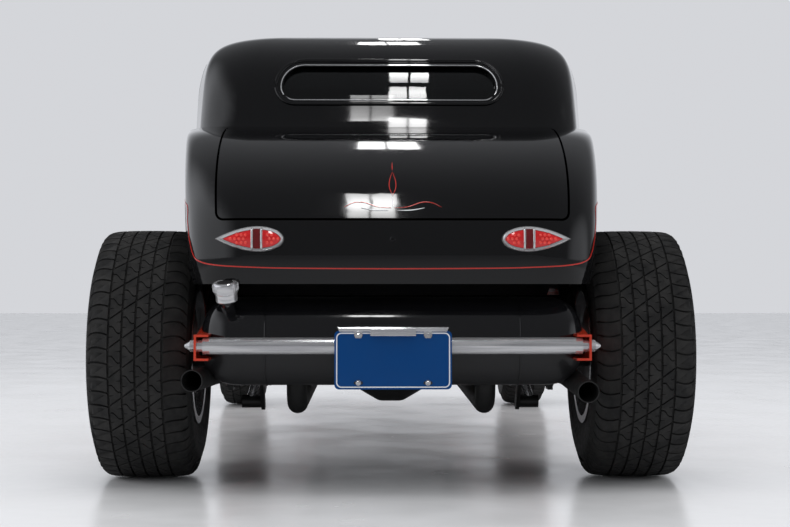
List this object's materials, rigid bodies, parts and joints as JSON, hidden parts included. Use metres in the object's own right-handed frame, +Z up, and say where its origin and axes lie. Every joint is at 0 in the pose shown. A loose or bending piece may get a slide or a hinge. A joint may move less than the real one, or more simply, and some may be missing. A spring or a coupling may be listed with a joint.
{
  "type": "chopped three-window hot rod coupe",
  "caption": "Fenderless chopped hot rod coupe on wide rear tyres, with doors, lids, steering and wheels that move.",
  "frame": {"origin": "under the middle of the whole car, on the ground", "axes": "+Y forward, +X right, +Z up"},
  "size_m": [1.662, 3.673, 1.4188],
  "materials": {
    "body_paint": "deep gloss black paint",
    "frame_paint": "gloss red-orange paint",
    "chrome": "polished",
    "polished_aluminium": "polished",
    "chassis_black": "satin black",
    "exhaust_black": "matt black coating",
    "engine_paint": "satin black casting",
    "radiator_core": "black core",
    "tyre": "dark rubber",
    "wheel_metal": "polished casting",
    "tinted_glass": "dark tinted glass",
    "lens_clear": "clear lens",
    "lens_red": "red lens",
    "seat_leather": "brown leather",
    "trim_black": "dark trim",
    "plate_blue": "blue, white border line, blank"
  },
  "bodies": {
    "chassis": {"rear_body": "body_paint", "cowl": "body_paint", "roof": "body_paint", "floor_pan": "chassis_black", "rear_window": "tinted_glass", "windscreen": "tinted_glass", "frame_rail_right": "frame_paint", "frame_rail_left": "frame_paint", "front_crossmember": "frame_paint", "rear_crossmember": "chassis_black", "rear_spreader_bar": "polished_aluminium", "front_spreader_bar": "polished_aluminium", "front_axle": "chrome", "front_spring": "chassis_black", "radius_rods": "chrome", "rear_axle": "chassis_black", "coilovers": "chassis_black", "rear_links": "chassis_black", "hood_sides": "body_paint", "grille_shell": "body_paint", "grille_bars": "chrome", "radiator": "radiator_core", "headlamps": "chrome", "headlamp_lenses": "lens_clear", "engine_block": "engine_paint", "driveline": "engine_paint", "seat": "seat_leather", "dashboard": "body_paint", "steering_column": "chrome", "fuel_tank": "body_paint", "filler_cap": "polished_aluminium", "exhaust_pipes": "exhaust_black", "licence_plate": "plate_blue", "plate_bracket": "polished_aluminium", "tail_lamps": "chrome", "tail_lamp_lenses": "lens_red"},
    "door_left": {"door_left": "body_paint", "door_glass_left": "tinted_glass"},
    "door_right": {"door_right": "body_paint", "door_glass_right": "tinted_glass"},
    "deck_lid": {"deck_lid": "body_paint"},
    "hood_left": {"hood_left": "body_paint"},
    "hood_right": {"hood_right": "body_paint"},
    "steering_wheel": {"steering_wheel": "trim_black"},
    "knuckle_left": {"knuckle_left": "chassis_black"},
    "knuckle_right": {"knuckle_right": "chassis_black"},
    "tie_rod": {"tie_rod": "chrome"},
    "wheel_front_left": {"front_rim_left": "wheel_metal", "front_tyre_left": "tyre"},
    "wheel_front_right": {"front_rim_right": "wheel_metal", "front_tyre_right": "tyre"},
    "wheel_rear_left": {"rear_rim_left": "wheel_metal", "rear_tyre_left": "tyre"},
    "wheel_rear_right": {"rear_rim_right": "wheel_metal", "rear_tyre_right": "tyre"}
  },
  "joints": [
    {"name": "door_left_hinge", "type": "hinge", "parent": "chassis", "child": "door_left", "pos_m": [-0.672, -0.7145, 0.8], "axis": [0, 0, 1], "range_deg": [0, 65]},
    {"name": "door_right_hinge", "type": "hinge", "parent": "chassis", "child": "door_right", "pos_m": [0.672, -0.7145, 0.8], "axis": [0, 0, -1], "range_deg": [0, 65]},
    {"name": "deck_lid_hinge", "type": "hinge", "parent": "chassis", "child": "deck_lid", "pos_m": [0, -1.1435, 1.03509], "axis": [-1, 0, 0], "range_deg": [0, 55]},
    {"name": "hood_left_hinge", "type": "hinge", "parent": "chassis", "child": "hood_left", "pos_m": [0, 0.9135, 1.036], "axis": [0, 1, 0], "range_deg": [0, 62]},
    {"name": "hood_right_hinge", "type": "hinge", "parent": "chassis", "child": "hood_right", "pos_m": [0, 0.9135, 1.036], "axis": [0, -1, 0], "range_deg": [0, 62]},
    {"name": "steer_left", "type": "hinge", "parent": "chassis", "child": "knuckle_left", "pos_m": [-0.545, 1.5085, 0.328], "axis": [0, 0, 1], "range_deg": [-24, 24]},
    {"name": "steer_right", "type": "hinge", "parent": "chassis", "child": "knuckle_right", "pos_m": [0.545, 1.5085, 0.328], "axis": [0, 0, 1], "range_deg": [-24, 24]},
    {"name": "tie_rod_swivel", "type": "hinge", "parent": "knuckle_left", "child": "tie_rod", "pos_m": [-0.545, 1.3485, 0.262], "axis": [0, 0, 1], "range_deg": [-24, 24]},
    {"name": "steering_wheel_turn", "type": "hinge", "parent": "chassis", "child": "steering_wheel", "pos_m": [-0.33, -0.1585, 0.905], "axis": [0, 0.9226, -0.3857], "range_deg": [-288, 288]},
    {"name": "wheel_rear_left_spin", "type": "hinge", "parent": "chassis", "child": "wheel_rear_left", "pos_m": [-0.69, -1.3365, 0.3555], "axis": [1, 0, 0], "continuous": true},
    {"name": "wheel_rear_right_spin", "type": "hinge", "parent": "chassis", "child": "wheel_rear_right", "pos_m": [0.69, -1.3365, 0.3555], "axis": [1, 0, 0], "continuous": true},
    {"name": "wheel_front_left_spin", "type": "hinge", "parent": "knuckle_left", "child": "wheel_front_left", "pos_m": [-0.658, 1.5085, 0.328], "axis": [1, 0, 0], "continuous": true},
    {"name": "wheel_front_right_spin", "type": "hinge", "parent": "knuckle_right", "child": "wheel_front_right", "pos_m": [0.658, 1.5085, 0.328], "axis": [1, 0, 0], "continuous": true}
  ],
  "couplings": [
    {"joint": "steer_right", "follows": "steer_left", "ratio": 1},
    {"joint": "tie_rod_swivel", "follows": "steer_left", "ratio": -1},
    {"joint": "steering_wheel_turn", "follows": "steer_left", "ratio": -12}
  ]
}
